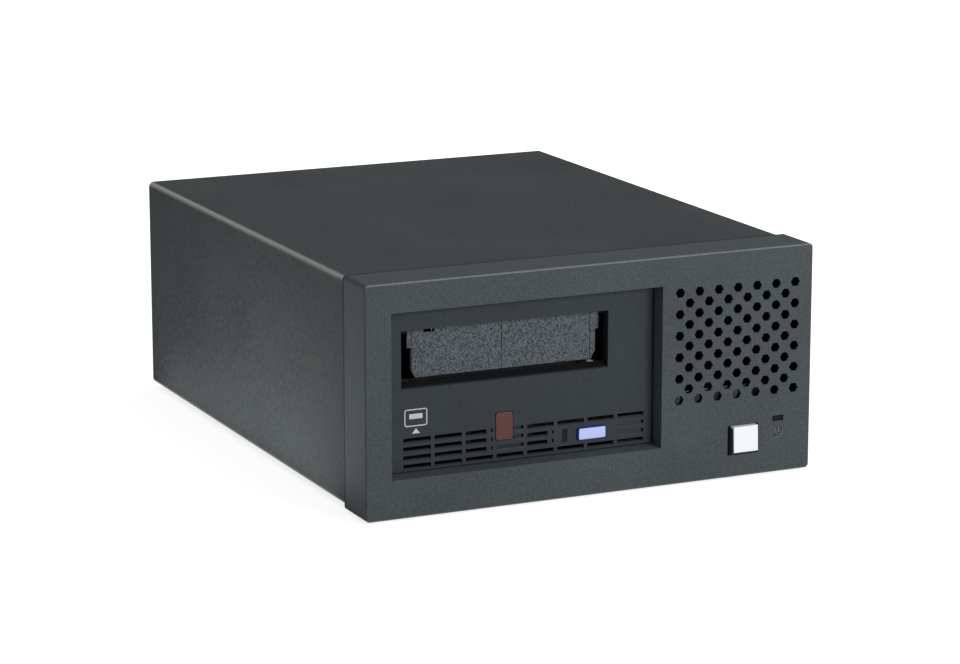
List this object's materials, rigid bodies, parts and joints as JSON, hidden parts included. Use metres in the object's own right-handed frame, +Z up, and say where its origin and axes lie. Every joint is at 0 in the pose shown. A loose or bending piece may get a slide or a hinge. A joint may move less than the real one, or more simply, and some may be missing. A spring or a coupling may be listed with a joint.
{
  "type": "data tape drive",
  "caption": "Desktop data tape drive: charcoal case with a sheet cover, hexagonal grille and power button, round a full-height drive with a flapped cartridge slot and unload key.",
  "frame": {"origin": "on the desk plane, under the middle of the overall box, from the power button's face to the cover's rear edge", "axes": "+X right seen from the front, +Y to the rear (the bezel faces -Y), +Z up"},
  "size_m": [0.254, 0.3236, 0.1225],
  "materials": {
    "case_plastic": "fine-textured moulded charcoal plastic",
    "drive_plastic": "fine-textured moulded dark grey plastic",
    "flap_plastic": "coarse-textured moulded grey plastic",
    "cover_paint": "fine powder coat, charcoal",
    "zinc_steel": "zinc-plated sheet",
    "screw_steel": "plated steel",
    "spring_steel": "spring wire",
    "motor_steel": "turned and plated",
    "cast_aluminium": "as cast",
    "sheet_aluminium": "bare sheet",
    "foot_rubber": "matt black",
    "white_plastic": "satin white",
    "key_plastic": "dark grey",
    "blue_plastic": "pale blue face, satin",
    "red_lens": "smoked red, glossy",
    "dark_lens": "smoked, nearly black",
    "black_plastic": "satin black",
    "grey_plastic": "satin grey",
    "circuit_board": "green solder mask",
    "sleeve_plastic": "shrink sleeve",
    "winding_tape": "amber tape",
    "bronze": "springy bronze sheet",
    "head_ceramic": "polished, nearly black"
  },
  "bodies": {
    "case": {"front_bezel": "case_plastic", "top_cover": "cover_paint", "base_pan": "zinc_steel", "rubber_feet": "foot_rubber", "case_screws": "screw_steel", "front_bulkhead": "zinc_steel", "power_switch": "black_plastic", "power_button_spring": "spring_steel", "power_light_pipe": "dark_lens", "power_light_board": "circuit_board", "rear_panel": "zinc_steel", "drive_bracket_left": "zinc_steel", "drive_bracket_right": "zinc_steel", "drive_screws": "screw_steel", "ac_inlet": "black_plastic", "inlet_blades": "bronze", "rear_screws": "screw_steel", "fan_frame": "black_plastic", "supply_channel": "sheet_aluminium", "supply_board": "circuit_board", "supply_transformer": "winding_tape", "supply_heat_sinks": "sheet_aluminium", "supply_capacitors": "sleeve_plastic", "data_sockets": "zinc_steel", "socket_tongues": "black_plastic", "drive_bezel": "drive_plastic", "slot_flap_spring": "spring_steel", "display_window": "red_lens", "status_window": "dark_lens", "panel_board": "circuit_board", "display_module": "black_plastic", "slot_pad": "white_plastic", "slot_leaf": "bronze", "drive_chassis": "cast_aluminium", "drive_top_cover": "zinc_steel", "drive_bottom_cover": "zinc_steel", "main_board": "circuit_board", "drive_connectors": "black_plastic", "supply_motor": "motor_steel", "take_up_motor": "motor_steel", "deck_posts": "screw_steel", "head_actuator": "motor_steel", "loader_motor": "motor_steel"},
    "power_button": {"power_button": "key_plastic", "power_button_face": "white_plastic"},
    "fan_rotor": {"fan_rotor": "black_plastic"},
    "slot_flap": {"slot_flap": "flap_plastic"},
    "unload_key": {"unload_key": "blue_plastic"},
    "loader_carriage": {"loader_carriage": "zinc_steel"},
    "cartridge_tray": {"cartridge_tray": "zinc_steel"},
    "supply_hub": {"supply_hub": "grey_plastic"},
    "take_up_reel": {"take_up_reel": "grey_plastic"},
    "tape_head": {"tape_head": "head_ceramic"},
    "threader_arm": {"threader_arm": "zinc_steel"},
    "guide_roller_1": {"guide_roller_1": "head_ceramic"},
    "guide_roller_2": {"guide_roller_2": "head_ceramic"},
    "guide_roller_3": {"guide_roller_3": "head_ceramic"},
    "guide_roller_4": {"guide_roller_4": "head_ceramic"}
  },
  "joints": [
    {"name": "power_button_push", "type": "slide", "parent": "case", "child": "power_button", "axis": [0, 1, 0], "range_m": [0, 0.0025], "stiffness_N_per_m": 800, "deforming": ["power_button_spring"]},
    {"name": "unload_key_push", "type": "slide", "parent": "case", "child": "unload_key", "axis": [0, 1, 0], "range_m": [0, 0.0012], "stiffness_N_per_m": 800},
    {"name": "slot_flap_hinge", "type": "hinge", "parent": "case", "child": "slot_flap", "pos_m": [-0.04591, -0.1429, 0.0959], "axis": [1, 0, 0], "range_deg": [0, 82], "stiffness_Nm_per_rad": 0.01, "springref_deg": -17.19, "deforming": ["slot_flap_spring"]},
    {"name": "fan_spin", "type": "hinge", "parent": "case", "child": "fan_rotor", "pos_m": [0.085, 0.1418, 0.0779], "axis": [0, 1, 0], "continuous": true},
    {"name": "loader_carriage_slide", "type": "slide", "parent": "case", "child": "loader_carriage", "axis": [0, 1, 0], "range_m": [0, 0.01]},
    {"name": "cartridge_tray_drop", "type": "slide", "parent": "loader_carriage", "child": "cartridge_tray", "axis": [0, 0, -1], "range_m": [0, 0.006]},
    {"name": "supply_hub_spin", "type": "hinge", "parent": "case", "child": "supply_hub", "pos_m": [-0.04612, -0.0782, 0.06025], "axis": [0, 0, 1], "continuous": true},
    {"name": "take_up_reel_spin", "type": "hinge", "parent": "case", "child": "take_up_reel", "pos_m": [-0.04612, 0.0228, 0.07325], "axis": [0, 0, 1], "continuous": true},
    {"name": "tape_head_shift", "type": "slide", "parent": "case", "child": "tape_head", "axis": [0, 0, 1], "range_m": [-0.0025, 0.0025]},
    {"name": "threader_swing", "type": "hinge", "parent": "case", "child": "threader_arm", "pos_m": [-0.029, -0.0132, 0.07325], "axis": [0, 0, 1], "range_deg": [0, 75]},
    {"name": "guide_roller_1_spin", "type": "hinge", "parent": "case", "child": "guide_roller_1", "pos_m": [0.01951, -0.0253, 0.07325], "axis": [0, 0, 1], "continuous": true},
    {"name": "guide_roller_2_spin", "type": "hinge", "parent": "case", "child": "guide_roller_2", "pos_m": [0.01667, 0.00714, 0.07325], "axis": [0, 0, 1], "continuous": true},
    {"name": "guide_roller_3_spin", "type": "hinge", "parent": "case", "child": "guide_roller_3", "pos_m": [0.0093, 0.01894, 0.07325], "axis": [0, 0, 1], "continuous": true},
    {"name": "guide_roller_4_spin", "type": "hinge", "parent": "case", "child": "guide_roller_4", "pos_m": [-0.00104, 0.02825, 0.07325], "axis": [0, 0, 1], "continuous": true}
  ]
}
